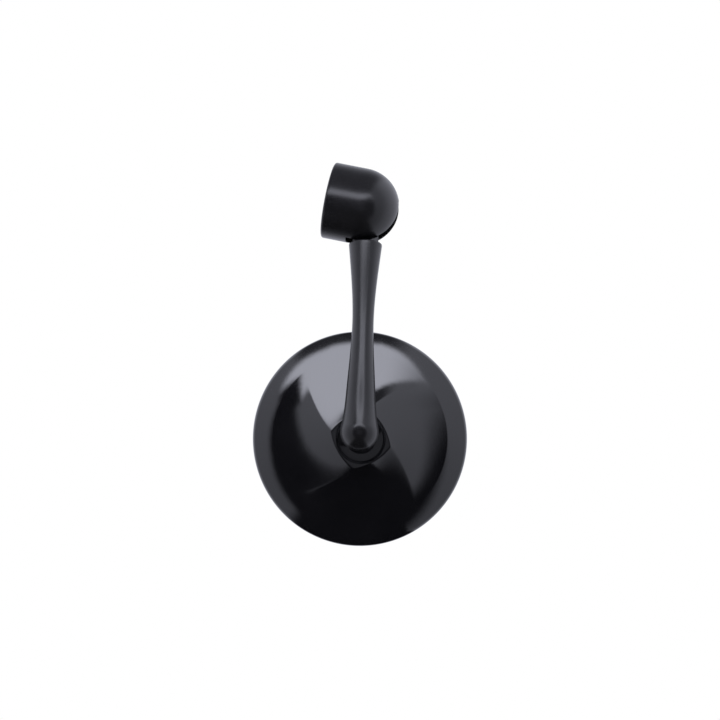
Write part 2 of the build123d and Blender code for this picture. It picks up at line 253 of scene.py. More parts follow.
# Where the stud's collar sits: on a flat spot in the bulb
spot_s = STUD_L - np.sqrt(BULB_R**2 - STUD_SPOT_R**2)


def new_object(name, data):
    """An object for a mesh, a camera or a lamp, put in the scene."""
    thing = bpy.data.objects.new(name, data)
    scene.collection.objects.link(thing)
    return thing


def smooth(mesh):
    """Shades a mesh smoothly, apart from its sharp edges."""
    mesh.polygons.foreach_set("use_smooth", np.ones(len(mesh.polygons), bool))
    mesh.set_sharp_from_angle(angle=SHARP)


def mesh_object(name, points, close_rows=False):
    """An object from a grid of points: quads between neighbours, with each row closed into a ring.

    The last row is joined to the first one if asked. Points that coincide, as at a pole, are merged, so the
    quads there become triangles."""
    rows, cols = points.shape[:2]
    index = np.arange(rows * cols).reshape(rows, cols)
    if close_rows:
        index = np.concatenate((index, index[:1]), axis=0)
    index = np.concatenate((index, index[:, :1]), axis=1)
    corners = (index[:-1, :-1], index[:-1, 1:], index[1:, 1:], index[1:, :-1])
    quads = np.stack(corners, axis=-1).reshape(-1, 4)
    mesh = bpy.data.meshes.new(name)
    mesh.vertices.add(rows * cols)
    mesh.vertices.foreach_set("co", points.reshape(-1))
    mesh.loops.add(quads.size)
    mesh.loops.foreach_set("vertex_index", quads.reshape(-1))
    mesh.polygons.add(len(quads))
    mesh.polygons.foreach_set("loop_start", np.arange(len(quads)) * 4)
    mesh.update(calc_edges=True)
    merged = bmesh.new()
    merged.from_mesh(mesh)
    bmesh.ops.remove_doubles(merged, verts=merged.verts, dist=MERGE)
    bmesh.ops.dissolve_degenerate(merged, edges=merged.edges, dist=SLIVER)
    bmesh.ops.recalc_face_normals(merged, faces=merged.faces)
    merged.to_mesh(mesh)
    merged.free()
    smooth(mesh)
    return new_object(name, mesh)


def vertices(thing):
    """A piece's points as one array, in metres."""
    points = np.empty(len(thing.data.vertices) * 3)
    thing.data.vertices.foreach_get("co", points)
    return points.reshape(-1, 3)


def mark(thing, name, values):
    """Keeps one number for each point of a piece, which its material reads."""
    thing.data.attributes.new(name, "FLOAT", "POINT").data.foreach_set("value", values)


def turned(name, place, profile, cols=ROUND_COLS, close_rows=False):
    """A turned form: each (radius, height) of the profile becomes a ring about the place's axis.

    A radius may also be an array round the axis, which gives a hexagon or another ring that isn't round."""
    angle = np.linspace(0, 2 * np.pi, cols + 1)[:-1]
    radius = np.stack([np.broadcast_to(ring_radius, cols) for ring_radius, _ in profile])
    height = np.array([ring_height for _, ring_height in profile], float)[:, None] + 0 * radius
    points = np.stack((radius * np.cos(angle), radius * np.sin(angle), height), axis=-1)
    return mesh_object(name, place.put(points), close_rows)


def drill(name, place, steps, cols):
    """A cutter for a stepped hole: cylinders end to end, each given as its radius and its two heights."""
    profile = [(0, steps[0][1])]
    for radius, low, high in steps:
        profile += [(radius, low), (radius, high)]
    profile.append((0, steps[-1][2]))
    return turned(name, place, profile, cols)


def prism(name, place, outline, low, high, edge=0.0):
    """A prism: a flat outline at two heights, drawn in there by the edge's size and closed on its middle."""
    outline = np.asarray(outline, float)
    middle = np.broadcast_to(outline.mean(axis=0), outline.shape)
    inward = middle - outline
    inset = outline + inward * edge / np.linalg.norm(inward, axis=1, keepdims=True)
    layers = [
        (middle, low), (inset, low), (outline, low + edge),
        (outline, high - edge), (inset, high), (middle, high),
    ]
    points = np.stack([np.column_stack((flat, np.full(len(flat), height))) for flat, height in layers])
    return mesh_object(name, place.put(points))


def worked(thing, union=(), cut=()):
    """Joins pieces to a piece, cuts others out of it, and keeps the result."""
    for other, operation in [(o, "UNION") for o in union] + [(o, "DIFFERENCE") for o in cut]:
        step = thing.modifiers.new(operation, "BOOLEAN")
        step.operation = operation
        step.solver = "EXACT"
        step.object = other
    made = bpy.data.meshes.new_from_object(thing.evaluated_get(bpy.context.evaluated_depsgraph_get()))
    made.name = thing.name
    thing.modifiers.clear()
    thing.data = made
    smooth(made)
    for other in (*union, *cut):
        bpy.data.objects.remove(other)
    return thing


def joined(things):
    """Several pieces as one, in the first one's object."""
    merged = bmesh.new()
    for thing in things:
        merged.from_mesh(thing.data)
    merged.to_mesh(things[0].data)
    merged.free()
    for other in things[1:]:
        bpy.data.objects.remove(other)
    return things[0]


def arc(centre, radius, start, end, count):
    """Points of a circle's arc in a plane, from one angle to another in degrees."""
    angle = np.radians(np.linspace(start, end, count))
    return np.stack((centre[0] + radius * np.cos(angle), centre[1] + radius * np.sin(angle)), axis=-1)


def hexagon(across):
    """Radius round a hexagon: half its width over the cosine of the angle from the nearest flat's middle."""
    angle = np.linspace(0, 2 * np.pi, KEYED_COLS + 1)[:-1]
    sixth = np.pi / 3
    return across / 2 / np.cos((angle + sixth / 2) % sixth - sixth / 2)


def curve_through(knots, values, first_slope, last_slope, at):
    """Cubic spline through knots with set end slopes: one slope per knot makes the curvature continuous."""
    step = np.diff(knots)
    rise = np.diff(values) / step
    system = np.eye(len(knots))
    bends = 3 * (rise[:-1] * step[1:] + rise[1:] * step[:-1])
    inner = np.arange(1, len(knots) - 1)
    system[inner, inner - 1] = step[1:]
    system[inner, inner] = 2 * (step[:-1] + step[1:])
    system[inner, inner + 1] = step[:-1]
    slope = np.linalg.solve(system, np.concatenate(([first_slope], bends, [last_slope])))
    span = np.clip(np.searchsorted(knots, at) - 1, 0, len(step) - 1)
    t = (at - knots[span]) / step[span]
    start, end = values[span], values[span + 1]
    first, last = slope[span] * step[span], slope[span + 1] * step[span]
    return (
        start * (1 + 2 * t) * (1 - t) ** 2 + first * t * (1 - t) ** 2
        + end * t**2 * (3 - 2 * t) + last * t**2 * (t - 1)
    )


def clamp_body():
    """Cup and dome turned about the bar, then slotted, drilled and counterbored.

    Rings along the straight stretch keep the faces short where the holes are cut."""
    rings = np.linspace(MOUTH_ROUND, CLAMP_STRAIGHT, STRAIGHT_POINTS)[1:-1]
    profile = np.concatenate((
        [(0, BORE_DEPTH), (BORE_R, BORE_DEPTH), (BORE_R, BORE_CHAMFER), (BORE_R + BORE_CHAMFER, 0)],
        arc((CLAMP_R - MOUTH_ROUND, MOUTH_ROUND), MOUTH_ROUND, -90, 0, MOUTH_POINTS),
        np.column_stack((np.full(len(rings), CLAMP_R), rings)),
        arc((0, CLAMP_STRAIGHT), CLAMP_R, 0, 90, DOME_POINTS)[:-1],
        [(0, CLAMP_STRAIGHT + CLAMP_R)],
    ))
    body = turned("clamp_body", CLAMP, profile, FINE_COLS)
    past = 2 * CLAMP_R
    round_end = arc((0, 0), SLOT_R, 270, 180, SLOT_POINTS)
    outline = np.concatenate(([(past, past), (past, -SLOT_R)], round_end, [(-SLOT_R, past)]))
    slot = prism("slot", PIVOT, outline, -SLOT_HALF, SLOT_HALF)
    steps = [(PIVOT_HOLE_R, PIVOT_BLIND, PIVOT_SEAT), (RECESS_R, PIVOT_SEAT, past)]
    hole = drill("pivot_hole", PIVOT, steps, HOLE_COLS)
    from_bore = [(GRUB_HOLE_R, BORE_R / 2, past)]
    grub_holes = [drill("grub_hole", place, from_bore, DRILL_COLS) for place in GRUBS]
    return worked(body, cut=[slot, hole, *grub_holes])


def socket_screw(name, place, shaft, across, top, depth):
    """A turned screw with a key hole: hexagon rings carry its section down to a drill's cone."""
    key = hexagon(across)
    hole = [
        (across / np.sqrt(3) + KEY_LEAD, top), (key, top - KEY_LEAD_DEPTH),
        (key, top - depth), (0, top - depth - across * KEY_TIP),
    ]
    return turned(name, place, [*shaft, *hole], KEYED_COLS)


def pivot_bolt():
    """Shoulder screw with a chamfered head, keyed from the clamp's far side."""
    top = PIVOT_HEAD + PIVOT_HEAD_H
    shaft = [
        (0, PIVOT_END), (PIVOT_R - SCREW_CHAMFER, PIVOT_END), (PIVOT_R, PIVOT_END + SCREW_CHAMFER),
        (PIVOT_R, PIVOT_HEAD), (PIVOT_HEAD_R, PIVOT_HEAD), (PIVOT_HEAD_R, top - SCREW_CHAMFER),
        (PIVOT_HEAD_R - SCREW_CHAMFER, top),
    ]
    return socket_screw("pivot_bolt", PIVOT, shaft, PIVOT_KEY, top, PIVOT_KEY_DEPTH)


def grub_pair():
    """The two headless screws in the clamp's far side, chamfered at both ends."""
    shaft = [
        (0, GRUB_TIP), (GRUB_R - SCREW_CHAMFER, GRUB_TIP), (GRUB_R, GRUB_TIP + SCREW_CHAMFER),
        (GRUB_R, GRUB_TOP - SCREW_CHAMFER), (GRUB_R - SCREW_CHAMFER, GRUB_TOP),
    ]
    return joined([
        socket_screw("grub_pair", place, shaft, GRUB_KEY, GRUB_TOP, GRUB_KEY_DEPTH) for place in GRUBS
    ])


def arm_spindle():
    """Shoulder, waisted spindle and bulb as one turned form, with the flat tongue ahead of it.

    The spindle's radius is a spline from the shoulder through waist and flare to the bulb's circle."""
    corner = (SHOULDER_R - SHOULDER_ROUND, SHOULDER_S + SHOULDER_ROUND)
    shoulder = arc(corner, SHOULDER_ROUND, -90, np.degrees(SHOULDER_TAPER), SHOULDER_POINTS)
    end = arc((0, ARM_L), BULB_R, -np.degrees(BULB_BLEND), 90, BULB_POINTS)
    knots = np.array((shoulder[-1, 1], WAIST[0], FLARE[0], end[0, 1]))
    radii = np.array((shoulder[-1, 0], WAIST[1], FLARE[1], end[0, 0]))
    along = np.linspace(knots[0], knots[-1], SPINDLE_POINTS)[1:-1]
    spindle = curve_through(knots, radii, -np.tan(SHOULDER_TAPER), np.tan(BULB_BLEND), along)
    profile = np.concatenate((
        [(0, SHOULDER_S)], shoulder, np.column_stack((spindle, along)), end[:-1], [(0, ARM_L + BULB_R)],
    ))
    body = turned("arm_spindle", ARM, profile)
    tongue_end = SHOULDER_S + SHOULDER_ROUND
    round_end = arc((0, 0), TONGUE_R, 90, 270, TONGUE_POINTS)
    outline = np.concatenate((round_end, [(tongue_end, -TONGUE_R), (tongue_end, TONGUE_R)]))
    tongue = prism("tongue", TONGUE, outline, -TONGUE_HALF, TONGUE_HALF, TONGUE_EDGE)
    bush = drill("bush_hole", PIVOT, [(BUSH_R, -TONGUE_R, TONGUE_R)], HOLE_COLS)
    steps = [(STUD_SPOT_R, BALL_R, spot_s), (SHANK_HOLE_R, spot_s, spot_s + SHANK_L + SHANK_SPARE)]
    seat = drill("stud_hole", STUD, steps, HOLE_COLS)
    return worked(body, union=[tongue], cut=[bush, seat])


def stud_turning():
    """Ball, filleted neck, hexagon collar and shank as rings about the stud's axis.

    The fillet's circle touches the ball and the neck. The collar's rings are hexagons, held inside a
    widening circle where the chamfer is."""
    fillet_r = NECK_R + NECK_FILLET
    rise = np.sqrt((BALL_R + NECK_FILLET) ** 2 - fillet_r**2)
    touch = np.degrees(np.arctan2(rise, fillet_r))
    low = spot_s - COLLAR_T
    flat = COLLAR_ACROSS / 2
    collar = hexagon(COLLAR_ACROSS)
    slope = np.tan(COLLAR_CHAMFER)
    widening = np.linspace(flat, collar.max(), CHAMFER_POINTS)
    chamfer = [(np.minimum(collar, limit), low + (limit - flat) * slope) for limit in widening]
    end = spot_s + SHANK_L
    profile = [
        (0, -BALL_R), *arc((0, 0), BALL_R, -90, touch, BALL_POINTS)[1:],
        *arc((fillet_r, rise), NECK_FILLET, 180 + touch, 180, NECK_POINTS)[1:], (NECK_R, low),
        *chamfer, (collar, spot_s), (SHANK_R, spot_s),
        (SHANK_R, end - SCREW_CHAMFER), (SHANK_R - SCREW_CHAMFER, end), (0, end),
    ]
    thing = turned("stud_turning", STUD, profile, KEYED_COLS)
    mark(thing, "along", STUD.take(vertices(thing))[:, 2])
    return thing


def swirl_way(radius):
    """How far out a corner radius lies between hub and fade, 0 to 1, measured on a logarithmic scale."""
    return np.clip(np.log(radius / HUB_R) / np.log(FADE_R / HUB_R), 0, 1)


def swirl_turn(radius):
    """Angle of a level's first corner: it falls with the radius's logarithm, so the ridges are spirals."""
    return np.radians(SWIRL_TURN - SWIRL_RATE * np.log(np.clip(radius, HUB_R, FADE_R) / HUB_R))


def swirl_drop(radius):
    """Depth of a level below the hub: the slope changes evenly from hub to fade, and starts in a small round.

    In the round, the distance past the hub's edge is a parabola, which leaves level and meets the slope."""
    run = FADE_R - HUB_R
    first, last = np.tan(np.radians((HUB_SLOPE, FADE_SLOPE)))
    past = radius - HUB_R
    past = np.where(past < HUB_BLEND, np.clip(past + HUB_BLEND, 0, None) ** 2 / (4 * HUB_BLEND), past)
    return past * (first + (last - first) * past / (2 * run))


def level_radius(side, offset):
    """Radius, against a corner radius of 1, of a square made of four arcs.

    side is the radius halfway along a side and offset the angle from there. The arc's centre lies beyond
    the axis by an amount that makes it pass through the corners."""
    beyond = (1 - side**2) / (2 * (side - np.cos(HALF_SIDE)))
    reach = side + beyond
    return np.sqrt(reach**2 - (beyond * np.sin(offset)) ** 2) - beyond * np.cos(offset)


def shell_rows():
    """Stations along the shell's closed section: corner radius, side ratio, turn and height, as arrays.

    The section runs from the socket's opening over the hub, down the swirl, round the rim and back inside.
    The last stations inside turn back to the first one's angle."""
    well_h = SOCKET_R * np.cos(SOCKET_OPEN) + LIP_T
    hub_h = well_h + WELL_DEPTH
    well_r = HUB_R * (1 - SQUARE) - HUB_LAND
    mouth_r = well_h * np.tan(SOCKET_OPEN)
    inner = np.concatenate((
        [(SOCKET_R * np.sin(SOCKET_OPEN), SOCKET_R * np.cos(SOCKET_OPEN))],
        [(mouth_r - LIP_CHAMFER, well_h - LIP_CHAMFER), (mouth_r + LIP_SPREAD, well_h)],
        arc((well_r - WELL_FILLET, well_h + WELL_FILLET), WELL_FILLET, -90, 0, WELL_FILLET_POINTS),
        arc((well_r + WELL_EDGE, hub_h - WELL_EDGE), WELL_EDGE, 180, 90, WELL_EDGE_POINTS),
    ))
    hub_round = np.linspace(HUB_R - HUB_BLEND, HUB_R + HUB_BLEND, HUB_POINTS)[:-1]
    swirl_r = np.concatenate((hub_round, np.linspace(HUB_R + HUB_BLEND, FADE_R, SWIRL_POINTS)))
    swirl_h = hub_h - swirl_drop(swirl_r)
    fade_h = swirl_h[-1]
    fade, knee = np.radians((FADE_SLOPE, KNEE_SLOPE))
    flank_r = (KNEE_R - FADE_R) / (np.sin(knee) - np.sin(fade))
    flank_centre = (FADE_R - flank_r * np.sin(fade), fade_h - flank_r * np.cos(fade))
    flank = arc(flank_centre, flank_r, 90 - FADE_SLOPE, 90 - KNEE_SLOPE, FLANK_POINTS)[1:]
    roll_r = (SHELL_R - KNEE_R) / (1 - np.sin(knee))
    roll_centre = (SHELL_R - roll_r, flank[-1, 1] - roll_r * np.cos(knee))
    roll = arc(roll_centre, roll_r, 90 - KNEE_SLOPE, 0, ROLL_POINTS)[1:]
    rim_half = (SHELL_R - LEDGE_R) / 2
    rim = arc((SHELL_R - rim_half, FRONT_W + rim_half), rim_half, 0, -180, RIM_POINTS)
    roof = hub_h - swirl_drop(ROOF_R) - ROOF_T
    inside = np.array([
        (LEDGE_R, LEDGE_W), (CAVITY_R, LEDGE_W), (CAVITY_R, flank[FLANK_POINTS // 2, 1] - ROOF_T),
        (FADE_R, fade_h - ROOF_T), (HUB_R, roof), (COLUMN_R, roof), (COLUMN_R, COLUMN_W),
        (SOCKET_R, COLUMN_W), (SOCKET_R, 0),
    ])
    cup = arc((0, 0), SOCKET_R, 0, 90 - np.degrees(SOCKET_OPEN), CUP_POINTS)[1:-1]
    plain = np.concatenate((flank, roll, rim, inside, cup))
    radius = np.concatenate((inner[:, 0], swirl_r, plain[:, 0]))
    height = np.concatenate((inner[:, 1], swirl_h, plain[:, 1]))
    swirl_side = 1 - SQUARE * (1 - swirl_way(swirl_r))
    side = np.concatenate((np.ones(len(inner)), swirl_side, np.ones(len(plain))))
    first, last = swirl_turn(np.array((HUB_R, FADE_R)))
    held = np.full(len(plain) - UNTURN_POINTS, last)
    turned_back = np.linspace(last, first, UNTURN_POINTS)
    turn = np.concatenate((np.full(len(inner), first), swirl_turn(swirl_r), held, turned_back))
    return radius, side, turn, height


def shell_swirl():
    """The whole shell as one closed grid: rows follow the section, columns follow the ridges.

    Columns lie closest at the ridges, where a hyperbola rounds off the distance from the corner."""
    radius, side, turn, height = shell_rows()
    even = np.linspace(-1, 1, BLADE_COLS + 1)[:-1]
    offset = HALF_SIDE * np.sin(even * np.pi / 2)
    from_corner = HALF_SIDE - np.abs(offset)
    rounded = np.hypot(from_corner, RIDGE_ROUND) * HALF_SIDE / np.hypot(HALF_SIDE, RIDGE_ROUND)
    shape = level_radius(side[:, None], (HALF_SIDE - rounded)[None, :])
    blades = np.arange(BLADES) * 2 * HALF_SIDE
    angle = turn[:, None, None] + HALF_SIDE + blades[None, :, None] + offset[None, None, :]
    reach = (radius[:, None] * shape)[:, None, :] * np.ones((1, BLADES, 1))
    level = height[:, None, None] + 0 * angle
    grid = np.stack((reach * np.cos(angle), reach * np.sin(angle), level), axis=-1)
    return mesh_object("shell_swirl", HEAD.put(grid.reshape(len(radius), -1, 3)), close_rows=True)


def glass_height(radius, curve):
    """Height of a sphere about the glass's centre.

    It is the centre's height less the root of the curve's square less the radius's square."""
    return CURVE_CENTRE - np.sqrt(curve**2 - np.asarray(radius, float) ** 2)


def convex_glass():
    """Disc between two spheres about one centre, its edge ground to a chamfer on both sides."""
    reach = np.linspace(0, GLASS_R - GLASS_GRIND, GLASS_POINTS)
    rear_curve = GLASS_CURVE - GLASS_T
    front = np.column_stack((reach, glass_height(reach, GLASS_CURVE)))
    rear = np.column_stack((reach, glass_height(reach, rear_curve)))[::-1]
    edge = [
        (GLASS_R, glass_height(GLASS_R, GLASS_CURVE) + GLASS_GRIND),
        (GLASS_R, glass_height(GLASS_R, rear_curve) - GLASS_GRIND),
    ]
    thing = turned("convex_glass", HEAD, [*front, *edge, *rear], FINE_COLS)
    local = HEAD.take(vertices(thing))
    ground = np.hypot(local[:, 0], local[:, 1]) > GLASS_R - GLASS_GRIND / 2
    mark(thing, "ground", ground.astype(float))
    return thing


def rubber_ring():
    """Gasket as a closed section carried round the glass: a band behind, and a half-round lip in front."""
    half = GASKET_LIP_T / 2
    lip_centre = (GASKET_LIP_R + half, GASKET_FRONT + half)
    corner = (GASKET_OUT - GASKET_ROUND, GASKET_FRONT + GASKET_ROUND)
    profile = np.concatenate((
        [(GASKET_IN, GASKET_BACK), (GASKET_IN, GASKET_FRONT + GASKET_LIP_T)],
        arc(lip_centre, half, 90, 270, GASKET_LIP_POINTS),
        arc(corner, GASKET_ROUND, 270, 360, GASKET_ROUND_POINTS),
        [(GASKET_OUT, GASKET_BACK)],
    ))
    return turned("rubber_ring", HEAD, profile, FINE_COLS, close_rows=True)


def linear(code):
    """A colour written as sRGB hex, as linear red, green, blue and alpha."""
    value = np.array([int(code[i:i + 2], 16) for i in (0, 2, 4)]) / 255
    low = value / 12.92
    high = ((value + 0.055) / 1.055) ** 2.4
    return (*np.where(value <= 0.04045, low, high), 1.0)


def per_mm(size):
    """Scale of a texture on Object coordinates, in metres, whose features measure a size in millimetres."""
    return 1 / (size * MM)


def node(tree, kind, settings=None, **links):
    """Adds a node to a tree, sets its properties or input values, and links its inputs from other sockets."""
    made = tree.nodes.new(kind)
    for key, value in (settings or {}).items():
        if key in made.inputs:
            made.inputs[key].default_value = value
        else:
            setattr(made, key, value)
    for key, source in links.items():
        tree.links.new(source, made.inputs[key])
    return made


def material(name, metallic=0.0, ior=1.5):
    """A new node material with its tree, its shader and its Object coordinates."""
    made = bpy.data.materials.new(name)
    made.use_nodes = True
    tree = made.node_tree
    shader = tree.nodes["Principled BSDF"]
    shader.inputs["Metallic"].default_value = metallic
    shader.inputs["IOR"].default_value = ior
    coords = node(tree, "ShaderNodeTexCoord").outputs["Object"]
    return made, tree, shader, coords


def finish(tree, shader, pattern, codes, roughness, height=None, depth=0.0):
    """Wires a surface: a pattern runs colour and roughness between two values, and a height runs the bump.

    Without a height the pattern runs the bump too. depth is the bump's real depth in millimetres."""
    colour = node(tree, "ShaderNodeValToRGB", Fac=pattern)
    for stop, code in zip(colour.color_ramp.elements, codes):
        stop.color = linear(code)
    tree.links.new(colour.outputs["Color"], shader.inputs["Base Color"])
    ends = {"To Min": roughness[0], "To Max": roughness[1]}
    rough = node(tree, "ShaderNodeMapRange", ends, Value=pattern)
    tree.links.new(rough.outputs["Result"], shader.inputs["Roughness"])
    relief = {"Strength": 1.0, "Distance": depth * MM}
    bump = node(tree, "ShaderNodeBump", relief, Height=height or pattern)
    tree.links.new(bump.outputs["Normal"], shader.inputs["Normal"])
    return bump


def gloss_enamel():
    """Black enamel sprayed on the cast shell and baked: deep and wet, with a faint orange peel."""
    made, tree, shader, coords = material("gloss_black_enamel_on_cast_aluminium")
    shader.inputs["Coat Weight"].default_value = 1.0
    shader.inputs["Coat Roughness"].default_value = 0.03
    cloud = node(tree, "ShaderNodeTexNoise", {"Scale": per_mm(14), "Detail": 3.0}, Vector=coords)
    peel = node(tree, "ShaderNodeTexNoise", {"Scale": per_mm(2.2), "Detail": 1.0}, Vector=coords)
    bump = finish(
        tree, shader, cloud.outputs["Fac"], codes=("060608", "0b0b0e"), roughness=(0.05, 0.11),
        height=peel.outputs["Fac"], depth=0.004,
    )
    tree.links.new(bump.outputs["Normal"], shader.inputs["Coat Normal"])
    return made


def satin_powder_coat(name, roughness):
    """Black powder coat, melted on: satin, with the small rolling texture that the powder leaves."""
    made, tree, shader, coords = material(name)
    cloud = node(tree, "ShaderNodeTexNoise", {"Scale": per_mm(6), "Detail": 4.0}, Vector=coords)
    peel = node(tree, "ShaderNodeTexNoise", {"Scale": per_mm(0.9), "Detail": 2.0}, Vector=coords)
    finish(
        tree, shader, cloud.outputs["Fac"], codes=("0a0a0c", "111114"), roughness=roughness,
        height=peel.outputs["Fac"], depth=0.006,
    )
    return made


def black_oxide_steel():
    """Screw steel blacked in a hot salt bath: dark metal with a slightly brown, uneven bloom."""
    made, tree, shader, coords = material("black_oxide_screw_steel", metallic=1.0)
    bloom = node(tree, "ShaderNodeTexNoise", {"Scale": per_mm(1.4), "Detail": 5.0}, Vector=coords)
    finish(
        tree, shader, bloom.outputs["Fac"], codes=("242427", "3f3b36"), roughness=(0.28, 0.46), depth=0.004,
    )
    return made


def turned_steel():
    """Stud steel turned on a lathe: bright, with fine rings where the tool passed.

    The rings are drawn coarser than a real finishing cut, so that they show."""
    made, tree, shader, _ = material("bright_turned_steel", metallic=1.0)
    spacing = 0.3
    along = node(tree, "ShaderNodeAttribute", {"attribute_name": "along"})
    cut = {"noise_dimensions": "1D", "Scale": 1 / spacing, "Detail": 3.0}
    rings = node(tree, "ShaderNodeTexNoise", cut, W=along.outputs["Fac"])
    finish(
        tree, shader, rings.outputs["Fac"], codes=("8f9194", "c3c5c8"), roughness=(0.18, 0.34), depth=0.004,
    )
    return made


def zinc_plated_steel():
    """Plate steel under a thin bright zinc plating: cool silver with faint cloudy patches."""
    made, tree, shader, coords = material("zinc_plated_steel", metallic=1.0)
    cloud = node(tree, "ShaderNodeTexNoise", {"Scale": per_mm(4), "Detail": 4.0}, Vector=coords)
    finish(
        tree, shader, cloud.outputs["Fac"], codes=("9a9da1", "c5c8cc"), roughness=(0.24, 0.4), depth=0.003,
    )
    return made


def spring_steel():
    """Springs hardened and tempered: grey steel with straw and blue left by the heat."""
    made, tree, shader, coords = material("tempered_spring_steel", metallic=1.0)
    heat = node(tree, "ShaderNodeTexNoise", {"Scale": per_mm(3), "Detail": 2.0}, Vector=coords)
    finish(
        tree, shader, heat.outputs["Fac"], codes=("56606e", "857a66"), roughness=(0.24, 0.38), depth=0.002,
    )
    return made


def sintered_bronze():
    """Bush pressed from bronze powder and soaked in oil: warm metal full of dark pores."""
    made, tree, shader, coords = material("sintered_bronze", metallic=1.0)
    pores = node(tree, "ShaderNodeTexNoise", {"Scale": per_mm(0.3), "Detail": 3.0}, Vector=coords)
    finish(
        tree, shader, pores.outputs["Fac"], codes=("5a3d1c", "bd8d4c"), roughness=(0.6, 0.36), depth=0.02,
    )
    return made


def natural_nylon():
    """Seats and washers moulded in uncoloured nylon: milky, waxy and a little see-through at thin edges."""
    made, tree, shader, coords = material("natural_moulded_nylon", ior=1.53)
    shader.inputs["Subsurface Weight"].default_value = 0.2
    shader.inputs["Subsurface Scale"].default_value = 0.8 * MM
    cloud = node(tree, "ShaderNodeTexNoise", {"Scale": per_mm(3), "Detail": 3.0}, Vector=coords)
    finish(
        tree, shader, cloud.outputs["Fac"], codes=("d6cfbc", "ebe6d8"), roughness=(0.36, 0.5), depth=0.006,
    )
    return made


def moulded_abs():
    """Backing plate moulded in black ABS from a spark-eroded tool: dull, with an even grain."""
    made, tree, shader, coords = material("black_moulded_abs", ior=1.54)
    grain = node(tree, "ShaderNodeTexNoise", {"Scale": per_mm(0.35), "Detail": 2.0}, Vector=coords)
    finish(
        tree, shader, grain.outputs["Fac"], codes=("131315", "1e1e21"), roughness=(0.48, 0.62), depth=0.012,
    )
    return made


def foam_tape():
    """Pad cut from grey closed-cell foam tape: matt, with small burst cells on the cut edge."""
    made, tree, shader, coords = material("closed_cell_foam_tape", ior=1.48)
    cells = node(tree, "ShaderNodeTexVoronoi", {"Scale": per_mm(0.4)}, Vector=coords)
    finish(
        tree, shader, cells.outputs["Distance"], codes=("2c2c2e", "4a4a4d"), roughness=(0.85, 0.97),
        depth=0.08,
    )
    return made


def moulded_rubber():
    """Gasket moulded in black rubber: soft sheen, with the fine tooth of the mould."""
    made, tree, shader, coords = material("black_moulded_rubber", ior=1.52)
    tooth = node(tree, "ShaderNodeTexNoise", {"Scale": per_mm(0.4), "Detail": 3.0}, Vector=coords)
    finish(
        tree, shader, tooth.outputs["Fac"], codes=("0e0e0f", "1a1a1b"), roughness=(0.5, 0.68), depth=0.008,
    )
    return made


def silvered_glass():
    """Convex glass bent over a mould and silvered: a clean, slightly rippled reflection and a pale edge."""
    made, tree, shader, coords = material("silvered_convex_glass")
    ground = node(tree, "ShaderNodeAttribute", {"attribute_name": "ground"}).outputs["Fac"]
    ripple = node(tree, "ShaderNodeTexNoise", {"Scale": per_mm(24), "Detail": 0.0}, Vector=coords)
    finish(
        tree, shader, ground, codes=("dfe6e4", "9fb4aa"), roughness=(0.02, 0.42),
        height=ripple.outputs["Fac"], depth=0.006,
    )
    silver = node(tree, "ShaderNodeMapRange", {"To Min": 1.0, "To Max": 0.0}, Value=ground)
    tree.links.new(silver.outputs["Result"], shader.inputs["Metallic"])
    return made


def pale_floor():
    """Painted floor: matt and almost white, with a faint mottle."""
    made, tree, shader, coords = material("pale_floor")
    mottle = node(tree, "ShaderNodeTexNoise", {"Scale": per_mm(40), "Detail": 2.0}, Vector=coords)
    finish(tree, shader, mottle.outputs["Fac"], codes=("f2f2f2", "f6f6f6"), roughness=(0.85, 0.95))
    return made


def dress(thing, surface):
    """Gives a piece its one finish."""
    thing.data.materials.clear()
    thing.data.materials.append(surface)


finishes = {
    "clamp_black": satin_powder_coat("satin_black_powder_coat_on_clamp", roughness=(0.23, 0.28)),
    "arm_black": satin_powder_coat("satin_black_powder_coat_on_arm", roughness=(0.22, 0.27)),
    "shell_black": gloss_enamel(),
    "screw_steel": black_oxide_steel(),
    "stud_steel": zinc_plated_steel(),
    "spring_steel": spring_steel(),
    "bush_bronze": sintered_bronze(),
    "seat_nylon": natural_nylon(),
    "plate_abs": moulded_abs(),
    "pad_foam": foam_tape(),
    "gasket_rubber": moulded_rubber(),
    "mirror_silver": silvered_glass(),
}

# Each CAD node keeps its slot's finish, and the pieces that show are drawn again in full.
# The stud itself is bare steel from the lathe, and what else has its slot is plated.
for thing in frame["nodes"].values():
    dress(thing, finishes[thing.data.materials[0].name])
for piece, body, node_name, slot in (
    (clamp_body(), "clamp", "bar_clamp", "clamp_black"),
    (grub_pair(), "clamp", "clamp_grub_screws", "screw_steel"),
    (pivot_bolt(), "clamp", "pivot_screw", "screw_steel"),
    (arm_spindle(), "arm", "arm", "arm_black"),
    (stud_turning(), "arm", "ball_stud", "stud_steel"),
    (shell_swirl(), "head", "mirror_shell", "shell_black"),
    (convex_glass(), "head", "mirror_glass", "mirror_silver"),
    (rubber_ring(), "head", "glass_gasket", "gasket_rubber"),
):
    dress(piece, turned_steel() if slot == "stud_steel" else finishes[slot])
    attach(piece, body)
    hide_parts(node_name)

